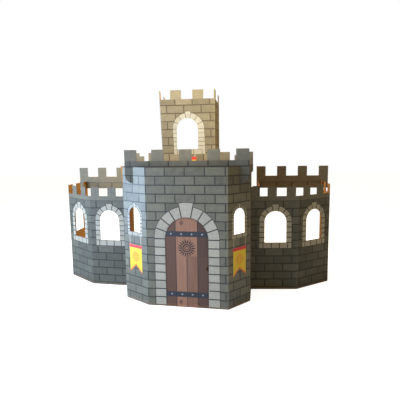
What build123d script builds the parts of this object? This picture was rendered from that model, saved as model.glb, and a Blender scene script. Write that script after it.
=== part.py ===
"""A play castle of printed corrugated card.

A keep with a door stands in front, a three-sided tower behind it and a wing on each side. Every sheet
is one folded or cut piece of board, and loose battlement sheets drop into slots across the walls.
Units are millimetres, Z is up and the front looks along -Y. The origin lies on the floor, at the
middle of the castle's footprint.
"""

import os
from math import atan2, cos, degrees, hypot, radians, sin

from build123d import *

# ---- board ----
card = 4.0  # thickness of the board
fold_radius = 6.0  # outside radius of a crease
fit = 0.3  # clearance on each side of a sheet in its slot
butt_gap = 0.7  # between the end of a wing and the keep's wall
kerf = 1.2  # width of a knife cut

# ---- overall ----
castle_depth = 1044.0  # front fold of the keep to the ends of the side walls
course = 60.0  # height of one printed course of stone, which the heights follow

# ---- keep ----
keep_height = 16 * course
keep_front_width = 563.0
keep_front_turn = 4.1  # degrees that the front panel is racked about the vertical
keep_front_shift = 31.0  # the front panel's middle stands this far right of the axis
keep_back_width = 904.0  # across the two rear corners of the side faces
keep_back_shift = 6.0
keep_side_depth = 175.0  # front fold to the rear corners, front to back
return_depth = 331.0  # the walls behind the rear corners
return_flare_left = 30.4
return_flare_right = 10.8

keep_window_width = 112.0
keep_window_sill = 504.0
keep_window_height = 176.0

door_width = 300.0
door_height = 625.0
notch_radius = 16.0  # half-moon for a finger at the door's free edge
notch_height = 277.0
crease_depth = 1.2
crease_width = 3.0

tab_height = 122.0  # push-out tab at the top of the left return wall
tab_length = 44.0
tab_taper = 7.0
tab_back = 186.0  # from the rear edge of the return wall

# ---- tower ----
tower_height = 1505.0
tower_notch = 24 * course  # height of the gaps between its merlons
tower_width = 412.0  # across the top
tower_depth = 412.0  # front to the rear edges of its side walls; the back is open
tower_lean = 51.0  # its left side is drawn in by this much at the floor
tower_flare = 46.0  # the rear edge of its left side stands this much further out
tower_right = 203.0
tower_front = 370.0  # behind the front fold of the keep
tower_merlon = 80.0
tower_window_width = 158.0
tower_window_sill = 1077.0
tower_window_height = 227.0

# ---- wings ----
wing_notch = 12 * course
wing_merlon_height = 70.0
wing_start = 408.0  # where the wings meet the keep, behind the front fold of the keep
wing_fold_x = 813.0
wing_sweep = 29.0  # the front panel's outer fold lies this much further back
side_wall_x = 1085.0
oblique_depth = 212.0  # from the front fold of the wing to its side wall, front to back
wing_merlon = 69.0
wing_pitch = 142.0
wrap_gap = 16.0  # the part of the gap at the fold that lies on the front panel
oblique_first = 55.0  # the rest of that gap, on the oblique panel
oblique_merlon = 71.0
oblique_pitch = 143.0
side_count = 3
panel_merlons = 2  # on the front panel and on the oblique one, besides the one at the keep
side_merlon = 84.0
side_pitch = 155.0
wing_window_width = 163.0
wing_window_sill = 366.0
wing_window_height = 241.0
wing_window_offset = -8.0  # the front window from the middle of its panel, away from the fold
side_window_middle = 190.0  # along the side wall from its front corner

# ---- inner walls ----
inner_wall_out = 79.0  # beyond the rear corners of the keep
inner_wall_rise = 7.0  # above the merlons of the wing
inner_flap = 56.0
doorway_width = 420.0
doorway_height = 650.0
doorway_start = 100.0  # from the front of the inner wall
doorway_radius = 40.0

# ---- battlement sheets ----
front_length = 856.0
front_shift = 22.0
front_drop = 114.0  # its lower edge, below the top of the keep
front_rise = 40.0  # the gaps between its merlons, above the top of the keep
front_merlon_height = 76.0
front_merlon = 87.0
front_count = 5
front_overlap = 55.0  # depth of the slots in the keep
front_end_radius = 62.0

rear_overhang = 27.0  # past the rear corners of the side faces
rear_drop = 60.0
rear_rise = 15.0
rear_merlon_height = 78.0
rear_overlap = 30.0
rear_merlon = 91.0
rear_pitch = 175.0
rear_behind_front = 398.0  # behind the front fold of the keep
rear_end_merlon = 101.0
rear_shoulder_width = 36.0
rear_shoulder_height = 53.0
rear_end_radius = 18.0
rear_slide = 4.0  # room above the sheet where it slides through the tower

strip_inner_end = 12.0  # past the inner wall
strip_outer_end = 55.0  # past the side wall
strip_lift = 5.0  # its lower edge, above the gaps of the wing
strip_rise = 114.0
strip_merlon_height = 85.0
strip_overlap = 32.0
strip_merlon = 80.0
strip_count = 4
strip_from_end = 24.0  # in front of the rear ends of the side walls
corner_radius = 5.0  # rounded corners of the cut merlons

# ---- places worked out from the sizes ----
front_y = -castle_depth / 2
side_end_y = castle_depth / 2
half_front = keep_front_width / 2
turn = radians(keep_front_turn)
half_turn_y = half_front * sin(turn)
front_mid_y = front_y + half_turn_y
front_left = (keep_front_shift - half_front * cos(turn), front_mid_y + half_turn_y)
front_right = (keep_front_shift + half_front * cos(turn), front_y)
corner_y = front_y + keep_side_depth
corner_left = (keep_back_shift - keep_back_width / 2, corner_y)
corner_right = (keep_back_shift + keep_back_width / 2, corner_y)
return_y = corner_y + return_depth
return_left = (corner_left[0] - return_flare_left, return_y)
return_right = (corner_right[0] + return_flare_right, return_y)

wing_y = front_y + wing_start
wing_fold = (wing_fold_x, wing_y + wing_sweep)
side_corner = (side_wall_x, wing_fold[1] + oblique_depth)
side_end = (side_wall_x, side_end_y)
wing_top = wing_notch + wing_merlon_height
inner_wall_x = keep_back_width / 2 + inner_wall_out
inner_wall_height = wing_top + inner_wall_rise
strip_start = inner_wall_x - strip_inner_end
strip_end = side_wall_x + strip_outer_end
strip_bottom = wing_notch + strip_lift
strip_notch = wing_notch + strip_rise
strip_top = strip_notch + strip_merlon_height
strip_lap = wing_top - strip_overlap
front_bottom = keep_height - front_drop
front_notch = keep_height + front_rise
front_top = front_notch + front_merlon_height
front_lap = keep_height - front_overlap
rear_bottom = keep_height - rear_drop
rear_notch = keep_height + rear_rise
rear_top = rear_notch + rear_merlon_height
rear_lap = keep_height - rear_overlap
rear_shoulder_top = rear_notch + rear_shoulder_height
rear_length = keep_back_width + 2 * rear_overhang
strip_y = side_end_y - strip_from_end
rear_y = front_y + rear_behind_front
tower_y = front_y + tower_front
tower_left = tower_right - tower_width
tower_middle = tower_right - tower_width / 2


def along(start, end, distance):
    """The point at a distance from start on the line towards end."""
    length = hypot(end[0] - start[0], end[1] - start[1])
    share = distance / length
    return (start[0] + share * (end[0] - start[0]), start[1] + share * (end[1] - start[1]))


def span(start, end):
    """The length of a panel between two folds."""
    return hypot(end[0] - start[0], end[1] - start[1])


def panel_plane(start, end):
    """The upright plane of a panel: x runs from start to end, y is up, z is its left-hand side."""
    run = Vector(end[0] - start[0], end[1] - start[1], 0)
    return Plane(origin=(start[0], start[1], 0), x_dir=run, z_dir=run.cross(Vector(0, 0, 1)))


def crossing(start, end, y):
    """The x at which a panel meets the depth y."""
    share = (y - start[1]) / (end[1] - start[1])
    return start[0] + share * (end[0] - start[0])


def heading(start, end):
    """The direction of a panel in degrees, seen from above."""
    return degrees(atan2(end[1] - start[1], end[0] - start[0]))


def folded_sheet(points, height, side):
    """Raise a board whose printed face follows points, creased at each inner point."""
    with BuildSketch(Plane.XY) as section:
        with BuildLine():
            FilletPolyline(*points, radius=fold_radius)
            offset(amount=card, side=side)
        make_face()
    extrude(section.sketch, amount=height)


def cut_gaps(plane, gaps, bottom, top, reach=4 * card):
    """Cut the gaps between merlons, each from its first to its last x, through a panel."""
    with BuildSketch(plane) as outline:
        for first, last in gaps:
            with Locations(((first + last) / 2, (bottom + top) / 2 + card)):
                Rectangle(last - first, top - bottom + 2 * card)
    extrude(outline.sketch, amount=reach, both=True, mode=Mode.SUBTRACT)


def cut_arch(plane, middle, sill, width, height):
    """Cut an opening with upright sides and a half-round head through a panel."""
    radius = width / 2
    spring = height - radius
    with BuildSketch(plane) as outline:
        with Locations((middle, sill + spring / 2)):
            Rectangle(width, spring)
        with Locations((middle, sill + spring)):
            Circle(radius)
    extrude(outline.sketch, amount=4 * card, both=True, mode=Mode.SUBTRACT)


def cut_slot(middle, angle, bottom, top, length=12 * card):
    """Cut the slot that another sheet drops or slides into, in line with that sheet."""
    with BuildSketch(Plane((middle[0], middle[1], bottom)).rotated((0, 0, angle))) as outline:
        Rectangle(length, card + 2 * fit)
    extrude(outline.sketch, amount=top - bottom, mode=Mode.SUBTRACT)


def row(first, pitch, count):
    """Evenly spaced places along a panel."""
    return [first + i * pitch for i in range(count)]


def gaps_after(starts, merlon, pitch):
    """The gap that follows each merlon of a row."""
    return [(start + merlon, start + pitch) for start in starts]


def battlement(plane, middle, length, bottom, notch, merlons, end_radius):
    """Raise a flat sheet: a band with rounded lower ends, and (middle, width, top) merlons."""
    with BuildSketch(plane) as outline:
        with Locations((middle, (bottom + notch) / 2)):
            Rectangle(length, notch - bottom)
        fillet(outline.vertices().group_by(Axis.Y)[0], end_radius)
        for place, width, head in merlons:
            with Locations((place, (notch + head) / 2)):
                Rectangle(width, head - notch)
        fillet(outline.vertices().group_by(Axis.Y)[-1], corner_radius)
    extrude(outline.sketch, amount=card / 2, both=True)


# ---- keep ----
keep_points = [return_left, corner_left, front_left, front_right, corner_right, return_right]
face_left = panel_plane(corner_left, front_left)
face_front = panel_plane(front_left, front_right)
face_right = panel_plane(front_right, corner_right)
wall_left = panel_plane(return_left, corner_left)
middle_left = span(corner_left, front_left) / 2
middle_right = span(front_right, corner_right) / 2
slot_left = face_left.from_local_coords((middle_left, 0, -card / 2))
slot_right = face_right.from_local_coords((middle_right, 0, -card / 2))
front_angle = heading((slot_left.X, slot_left.Y), (slot_right.X, slot_right.Y))
front_plane = Plane(
    origin=(front_shift, (slot_left.Y + slot_right.Y) / 2, 0),
    x_dir=slot_right - slot_left,
    z_dir=(slot_right - slot_left).cross(Vector(0, 0, 1)),
)
rear_left = (crossing(return_left, corner_left, rear_y) + card / 2, rear_y)
rear_right = (crossing(return_right, corner_right, rear_y) - card / 2, rear_y)
tab_edge = tab_back + tab_length
tab_hinge = along(return_left, corner_left, tab_back)
tab_side = wall_left.z_dir
tab_plane = panel_plane(tab_hinge, (tab_hinge[0] + tab_side.X, tab_hinge[1] + tab_side.Y))
tab_bottom = keep_height - tab_height
door_left = (keep_front_width - door_width) / 2
door_right = door_left + door_width
door_radius = door_width / 2
door_spring = door_height - door_radius

with BuildPart() as keep_wall:
    folded_sheet(keep_points, keep_height, Side.LEFT)
    for face, middle in ((face_left, middle_left), (face_right, middle_right)):
        cut_arch(face, middle, keep_window_sill, keep_window_width, keep_window_height)
    # the door is cut on three sides and stays joined along a crease at its left edge
    with BuildSketch(face_front) as door_cut:
        with Locations((keep_front_width / 2, door_spring)):
            Circle(door_radius)
            Circle(door_radius - kerf, mode=Mode.SUBTRACT)
            Rectangle(door_width, door_width, align=(Align.CENTER, Align.MAX), mode=Mode.SUBTRACT)
        with Locations((door_right, 0)):
            Rectangle(kerf, door_spring, align=(Align.MAX, Align.MIN))
        with Locations((door_right - kerf, notch_height)):
            Circle(notch_radius)
            Rectangle(
                4 * notch_radius,
                4 * notch_radius,
                align=(Align.MIN, Align.CENTER),
                mode=Mode.SUBTRACT,
            )
    extrude(door_cut.sketch, amount=4 * card, both=True, mode=Mode.SUBTRACT)
    with BuildSketch(face_front) as crease:
        with Locations((door_left, 0)):
            Rectangle(crease_width, door_spring, align=(Align.CENTER, Align.MIN))
    extrude(crease.sketch, amount=-crease_depth, mode=Mode.SUBTRACT)
    # the push-out tab: its notch in the left return wall, and the tab turned outwards
    cut_gaps(wall_left, [(tab_back, tab_edge)], tab_bottom, keep_height)
    for point in (slot_left, slot_right):
        cut_slot((point.X, point.Y), front_angle, front_lap, keep_height)
    for point in (rear_left, rear_right):
        cut_slot(point, 0, rear_lap, keep_height)
    with BuildSketch(tab_plane) as tab:
        with BuildLine():
            Polyline(
                (-card, tab_bottom),
                (tab_length - tab_taper, tab_bottom),
                (tab_length, keep_height),
                (-card, keep_height),
                close=True,
            )
        make_face()
    extrude(tab.sketch, amount=card)
keep_wall.part.label = "keep_wall"


# ---- tower ----
def tower_section(height):
    """One level of the tower, open at the back: its left side leans in towards the floor."""
    left = tower_left + tower_lean * (1 - height / tower_height)
    rear = tower_y + tower_depth
    points = [(left - tower_flare, rear), (left, tower_y), (tower_right, tower_y), (tower_right, rear)]
    with BuildSketch(Plane((0, 0, height))) as level:
        with BuildLine():
            FilletPolyline(*points, radius=fold_radius)
            offset(amount=card, side=Side.LEFT)
        make_face()
    return level.sketch


tower_face = Plane((0, tower_y, 0), x_dir=(1, 0, 0), z_dir=(0, -1, 0))
tower_side = Plane((tower_middle, tower_y, 0), x_dir=(0, 1, 0), z_dir=(1, 0, 0))
tower_gap = (tower_width - 2 * tower_merlon) / 3
tower_step = tower_merlon + tower_gap
front_gaps = [(tower_left + i * tower_step, tower_left + i * tower_step + tower_gap) for i in range(3)]
# the outer gaps of the front run to the folds but leave the side walls standing
front_gaps[0] = (front_gaps[0][0] + 2 * card, front_gaps[0][1])
front_gaps[2] = (front_gaps[2][0], front_gaps[2][1] - 2 * card)
side_gap = (tower_merlon, tower_depth - tower_merlon)

with BuildPart() as tower_sleeve:
    loft([tower_section(0), tower_section(tower_height)])
    cut_gaps(tower_face, front_gaps, tower_notch, tower_height)
    cut_gaps(tower_side, [side_gap], tower_notch, tower_height, reach=tower_width)
    cut_arch(tower_face, tower_middle, tower_window_sill, tower_window_width, tower_window_height)
    # the rear battlement slides through both side walls
    cut_slot((0, rear_y), 0, rear_bottom, rear_top + rear_slide, length=2 * tower_width)
tower_sleeve.part.label = "tower_sleeve"


# ---- wings ----
def wing_points(sign):
    """The printed face of a wing from its side wall to the keep."""
    inner = return_right if sign > 0 else return_left
    corner = corner_right if sign > 0 else corner_left
    meet = (crossing(corner, inner, wing_y + card) + sign * butt_gap, wing_y)
    return [(sign * x, y) for x, y in (side_end, side_corner, wing_fold)] + [meet]


def build_wing(sign):
    """Cut the gaps and windows of a wing in the block in hand."""
    points = wing_points(sign)
    end, corner, fold, meet = points
    folded_sheet(points, wing_top, Side.LEFT if sign < 0 else Side.RIGHT)
    side = panel_plane(corner, end)
    oblique = panel_plane(fold, corner)
    front = panel_plane(fold, meet)
    side_starts = row(0, side_pitch, side_count - 1)
    cut_gaps(side, gaps_after(side_starts, side_merlon, side_pitch), wing_notch, wing_top)
    oblique_starts = row(oblique_first, oblique_pitch, panel_merlons)
    oblique_gaps = [(0, oblique_first)] + gaps_after(oblique_starts, oblique_merlon, oblique_pitch)
    last = span(fold, corner)
    cut_gaps(oblique, oblique_gaps[:-1] + [(oblique_gaps[-1][0], last - card)], wing_notch, wing_top)
    front_starts = row(wrap_gap, wing_pitch, panel_merlons)
    front_gaps = [(-card, wrap_gap)] + gaps_after(front_starts, wing_merlon, wing_pitch)
    cut_gaps(front, front_gaps, wing_notch, wing_top)
    size = (wing_window_sill, wing_window_width, wing_window_height)
    cut_arch(side, side_window_middle, *size)
    cut_arch(oblique, span(fold, corner) / 2, *size)
    cut_arch(front, span(fold, meet) / 2 + wing_window_offset, *size)
    cut_slot((sign * (side_wall_x - card / 2), strip_y), 0, strip_lap, wing_top)


with BuildPart() as left_wing_wall:
    build_wing(-1)
left_wing_wall.part.label = "left_wing_wall"

with BuildPart() as right_wing_wall:
    build_wing(1)
right_wing_wall.part.label = "right_wing_wall"


# ---- inner walls ----
def build_inner_wall(sign):
    """Raise the wall between the keep and a wing: a flap behind the wing's front, then a doorway."""
    fold, meet = wing_points(sign)[2:]
    front = panel_plane(fold, meet)
    behind = sign * (card + fit)
    reach = span(fold, meet) * (wing_fold_x - inner_wall_x) / (wing_fold_x - sign * meet[0])
    corner = front.from_local_coords((reach, 0, behind))
    flap_end = front.from_local_coords((reach + inner_flap, 0, behind))
    rear = (sign * inner_wall_x, side_end_y)
    points = [(flap_end.X, flap_end.Y), (corner.X, corner.Y), rear]
    folded_sheet(points, inner_wall_height, Side.LEFT if sign > 0 else Side.RIGHT)
    with BuildSketch(panel_plane(points[1], rear)) as doorway:
        with Locations((doorway_start, -card)):
            Rectangle(doorway_width, doorway_height + card, align=Align.MIN)
        fillet(doorway.vertices().group_by(Axis.Y)[-1], doorway_radius)
    extrude(doorway.sketch, amount=4 * card, both=True, mode=Mode.SUBTRACT)
    cut_slot((sign * (inner_wall_x - card / 2), strip_y), 0, strip_lap, inner_wall_height)


with BuildPart() as left_inner_wall:
    build_inner_wall(-1)
left_inner_wall.part.label = "left_inner_wall"

with BuildPart() as right_inner_wall:
    build_inner_wall(1)
right_inner_wall.part.label = "right_inner_wall"

# ---- battlement sheets ----
front_pitch = (front_length - front_merlon) / (front_count - 1)
front_places = row(-(front_length - front_merlon) / 2, front_pitch, front_count)
front_merlons = [(place, front_merlon, front_top) for place in front_places]
with BuildPart() as keep_front_battlement:
    battlement(front_plane, 0, front_length, front_bottom, front_notch, front_merlons, front_end_radius)
    slot_foot = front_bottom - card
    cut_slot((slot_left.X, slot_left.Y), heading(corner_left, front_left), slot_foot, front_lap)
    cut_slot((slot_right.X, slot_right.Y), heading(front_right, corner_right), slot_foot, front_lap)
keep_front_battlement.part.label = "keep_front_battlement"

end_place = (rear_length - rear_end_merlon) / 2
shoulder_place = rear_length / 2 - rear_end_merlon - rear_shoulder_width / 2
rear_merlons = [(place, rear_merlon, rear_top) for place in (rear_pitch / 2, 3 * rear_pitch / 2)]
rear_merlons += [(end_place, rear_end_merlon, rear_top)]
rear_merlons += [(shoulder_place, rear_shoulder_width, rear_shoulder_top)]
rear_merlons += [(-place, width, head) for place, width, head in rear_merlons]
rear_plane = Plane((0, rear_y, 0), x_dir=(1, 0, 0), z_dir=(0, -1, 0))
with BuildPart() as keep_rear_battlement:
    battlement(rear_plane, 0, rear_length, rear_bottom, rear_notch, rear_merlons, rear_end_radius)
    cut_slot(rear_left, heading(return_left, corner_left), rear_bottom - card, rear_lap)
    cut_slot(rear_right, heading(corner_right, return_right), rear_bottom - card, rear_lap)
keep_rear_battlement.part.label = "keep_rear_battlement"

strip_plane = Plane((0, strip_y, 0), x_dir=(1, 0, 0), z_dir=(0, -1, 0))
strip_length = strip_end - strip_start
strip_pitch = (strip_length - strip_merlon) / (strip_count - 1)


def build_strip(sign):
    """Raise the battlement that crosses the rear of a wing."""
    places = row(strip_start + strip_merlon / 2, strip_pitch, strip_count)
    merlons = [(sign * place, strip_merlon, strip_top) for place in places]
    middle = sign * (strip_start + strip_end) / 2
    battlement(strip_plane, middle, strip_length, strip_bottom, strip_notch, merlons, corner_radius)
    for wall in (inner_wall_x, side_wall_x):
        cut_slot((sign * (wall - card / 2), strip_y), 90, strip_bottom - card, strip_lap)


with BuildPart() as left_wing_battlement:
    build_strip(-1)
left_wing_battlement.part.label = "left_wing_battlement"

with BuildPart() as right_wing_battlement:
    build_strip(1)
right_wing_battlement.part.label = "right_wing_battlement"

os.makedirs("parts", exist_ok=True)
export_step(keep_wall.part, "parts/keep_wall.step")
export_step(tower_sleeve.part, "parts/tower_sleeve.step")
export_step(left_wing_wall.part, "parts/left_wing_wall.step")
export_step(right_wing_wall.part, "parts/right_wing_wall.step")
export_step(left_inner_wall.part, "parts/left_inner_wall.step")
export_step(right_inner_wall.part, "parts/right_inner_wall.step")
export_step(keep_front_battlement.part, "parts/keep_front_battlement.step")
export_step(keep_rear_battlement.part, "parts/keep_rear_battlement.step")
export_step(left_wing_battlement.part, "parts/left_wing_battlement.step")
export_step(right_wing_battlement.part, "parts/right_wing_battlement.step")
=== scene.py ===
"""The look of a play castle folded from printed corrugated card.

Every sheet of the castle keeps the outline of its CAD node and gets a map of its flat blank, in metres:
u runs along the folded sheet and v is the height. The outer face carries a print of stone courses, the
inner face is bare kraft, and the cut edges show the fluted core of the board.
"""

import math

import bmesh
import bpy
from mathutils import Matrix, Vector


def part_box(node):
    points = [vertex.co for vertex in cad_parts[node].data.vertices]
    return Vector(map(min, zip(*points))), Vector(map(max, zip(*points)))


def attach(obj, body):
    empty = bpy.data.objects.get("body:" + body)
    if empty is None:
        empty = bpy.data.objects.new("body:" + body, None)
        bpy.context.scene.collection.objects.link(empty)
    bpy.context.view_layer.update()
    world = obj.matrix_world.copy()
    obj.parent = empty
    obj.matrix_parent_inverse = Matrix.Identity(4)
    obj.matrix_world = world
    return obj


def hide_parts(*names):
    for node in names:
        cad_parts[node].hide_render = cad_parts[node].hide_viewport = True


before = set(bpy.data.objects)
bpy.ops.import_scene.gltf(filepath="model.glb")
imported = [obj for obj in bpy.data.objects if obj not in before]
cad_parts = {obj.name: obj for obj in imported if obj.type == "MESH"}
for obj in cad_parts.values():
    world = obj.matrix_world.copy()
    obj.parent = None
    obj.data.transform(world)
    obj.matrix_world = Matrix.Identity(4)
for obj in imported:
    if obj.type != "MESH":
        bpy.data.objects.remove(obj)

bl_info = {
    "name": "Play castle",
    "version": (1, 0, 0),
    "blender": (4, 5, 0),
    "location": "View3D > Sidebar > Castle",
    "description": "Prints and lights a play castle of corrugated card",
    "category": "Object",
}

CARD = 0.004
UP = Vector((0, 0, 1))
WELD = 1e-5  # points closer than this are one
FLAT_ANGLE = math.radians(0.5)  # faces that meet flatter than this are merged
PRINT_FACING = 0.35  # a face that looks this much to one side of the board belongs to that side
LEVEL_FACING = 0.7  # a face that looks this much up or down is a level cut
PANEL_FACING = 0.998  # a printed face that looks less than this along its panel's normal is a crease
CREASE_AREA = 0.01  # faces under this area can be strips of a crease
CREASE_ANGLE = math.radians(35)
RAGGED = 0.003  # how far the edge of a printed joint wanders
SIDE_CUT = 2.0  # added to v on upright cuts, so that their flutes run straight

# plans of the printed faces, left to right, with the printed side on the right of the way
KEEP_PLAN = (
    (-0.4764, -0.016),
    (-0.446, -0.347),
    (-0.2498, -0.4817),
    (0.3118, -0.522),
    (0.458, -0.347),
    (0.4688, -0.016),
)
WING_PLAN = ((-1.085, 0.522), (-1.085, 0.127), (-0.813, -0.085), (-0.4675, -0.114))
TOWER_LEFT, TOWER_RIGHT, TOWER_FRONT, TOWER_BACK = -0.209, 0.203, -0.152, 0.26
TOWER_HEIGHT = 1.505
TOWER_LEAN = 0.051
TOWER_FLARE = 0.046


# ---- the flat blank of each sheet ----
def mirrored(plan):
    """The plan on the other side of the castle, still from left to right."""
    return tuple((-x, y) for x, y in reversed(plan))


def tower_plan(height):
    """The tower's outline at a height: open at the back, its left side leans in towards the floor."""
    left = TOWER_LEFT + TOWER_LEAN * (1 - height / TOWER_HEIGHT)
    return (
        (left - TOWER_FLARE, TOWER_BACK),
        (left, TOWER_FRONT),
        (TOWER_RIGHT, TOWER_FRONT),
        (TOWER_RIGHT, TOWER_BACK),
    )


def flat_plan(node):
    """The printed face of an upright flat sheet that looks to the front."""
    low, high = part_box(node)
    return ((low.x, low.y), (high.x, low.y))


def front_battlement_plan():
    """The printed face of the battlement on the keep's front, which is turned a little."""
    low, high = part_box("keep_front_battlement")
    turned = high.y - low.y - CARD
    return ((low.x, high.y - CARD), (high.x, high.y - CARD - turned))


def inner_wall_plan(node):
    """The printed face of an inner wall, with its flap behind the wing."""
    low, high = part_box(node)
    if high.x > 0:
        return ((high.x, high.y), (high.x, low.y + CARD), (low.x, low.y))[::-1]
    return ((low.x, high.y), (low.x, low.y + CARD), (high.x, low.y))


class Blank:
    """The folded line of a sheet: finds the place of a point along it and through the board."""

    def __init__(self, plan, zero=0, flip=False):
        self.plan = plan if callable(plan) else lambda height: plan
        points = self.plan(TOWER_HEIGHT)
        self.lengths = [math.dist(a, b) for a, b in zip(points, points[1:])]
        self.origin = sum(self.lengths[:zero])
        self.flip = flip

    def panels(self, height):
        """The panels at a height, as (start, direction, printed normal, length before it, length)."""
        points = self.plan(height)
        before = 0.0
        for index, (a, b) in enumerate(zip(points, points[1:])):
            way = (Vector(b) - Vector(a)).normalized()
            yield Vector(a), way, Vector((way.y, -way.x)), before, math.dist(a, b)
            before += self.lengths[index]

    def nearest(self, point, normal):
        """The number of the panel that a face belongs to."""
        best, answer = 1e9, 0
        flat = Vector((normal.x, normal.y))
        for index, (start, way, out, _, length) in enumerate(self.panels(point.z)):
            offset = Vector((point.x, point.y)) - start
            along = min(max(offset.dot(way), 0), length)
            score = (offset - way * along).length + 0.02 * (1 - abs(flat.dot(out)))
            if score < best:
                best, answer = score, index
        return answer

    def place(self, point, panel):
        """How far along the sheet a point lies, and how deep in the board."""
        start, way, out, before, _ = list(self.panels(point.z))[panel]
        offset = Vector((point.x, point.y)) - start
        along = before + offset.dot(way) - self.origin
        return (-along if self.flip else along), -offset.dot(out)

    def point(self, along, depth, height):
        """The point at a length from the sheet's start, at a depth in the board."""
        panels = list(self.panels(height))
        for index, (start, way, out, before, length) in enumerate(panels):
            if along <= before + length or index == len(panels) - 1:
                flat = start + way * (along - before) - out * depth
                return Vector((flat.x, flat.y, height))


def blank_of(node):
    """The blank of a sheet, by the name of its node."""
    return {
        "keep_wall": lambda: Blank(KEEP_PLAN, zero=2),
        "tower_sleeve": lambda: Blank(tower_plan, zero=1),
        "left_wing_wall": lambda: Blank(WING_PLAN, zero=2),
        "right_wing_wall": lambda: Blank(mirrored(WING_PLAN), zero=1, flip=True),
        "keep_front_battlement": lambda: Blank(front_battlement_plan()),
    }.get(node, lambda: Blank(inner_wall_plan(node) if "inner" in node else flat_plan(node)))()


def merged(mesh, **limits):
    """A working copy of a mesh, with its flat faces whole and its old maps gone."""
    work = bmesh.new()
    work.from_mesh(mesh)
    for layer in list(work.loops.layers.uv):
        work.loops.layers.uv.remove(layer)
    bmesh.ops.remove_doubles(work, verts=work.verts, dist=WELD)
    bmesh.ops.dissolve_limit(work, angle_limit=FLAT_ANGLE, verts=work.verts, edges=work.edges, **limits)
    work.normal_update()
    return work


def build_sheet(node, skins, turned_flap=None):
    """A merged copy of a node with its blank's map and its three skins: print, kraft and cut edge."""
    blank = blank_of(node)
    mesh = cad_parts[node].data.copy()
    mesh.name = node + "_sheet"
    mesh.materials.clear()
    for skin in skins:
        mesh.materials.append(skin)
    work = merged(mesh, delimit={"NORMAL"})
    sheet_map = work.loops.layers.uv.new("sheet")
    crease = work.faces.layers.float.new("crease")
    for face in work.faces:
        centre, normal = face.calc_center_median(), face.normal
        panel = blank.nearest(centre, normal)
        out = list(blank.panels(centre.z))[panel][2]
        facing = Vector((normal.x, normal.y)).dot(out)
        skin = 0 if facing > PRINT_FACING else 1 if facing < -PRINT_FACING else 2
        if turned_flap and turned_flap(centre) and abs(normal.y) > LEVEL_FACING:
            skin = 1 if normal.y < 0 else 0
        face.material_index = skin
        face[crease] = 1.0 if skin == 0 and facing < PANEL_FACING else 0.0
        level = abs(normal.z) > LEVEL_FACING
        for loop in face.loops:
            spot = loop.vert.co
            level_cut = skin == 2 and level
            along, depth = blank.place(spot, blank.nearest(spot, normal) if level_cut else panel)
            if level_cut:
                loop[sheet_map].uv = (along, depth / CARD)
            elif skin == 2:
                loop[sheet_map].uv = (spot.z, SIDE_CUT + depth / CARD)
            else:
                loop[sheet_map].uv = (along, spot.z)
        face.smooth = True
    for edge in work.edges:
        small = all(face.calc_area() < CREASE_AREA for face in edge.link_faces)
        edge.smooth = small and edge.calc_face_angle(math.pi) < CREASE_ANGLE
    work.to_mesh(mesh)
    work.free()
    piece = bpy.data.objects.new(mesh.name, mesh)
    bpy.context.scene.collection.objects.link(piece)
    finish_piece(piece, node)
    return piece


def finish_piece(piece, *nodes):
    """Hides the nodes that a piece stands for and hangs the piece on the root."""
    if nodes:
        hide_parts(*nodes)
    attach(piece, "root")


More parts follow.
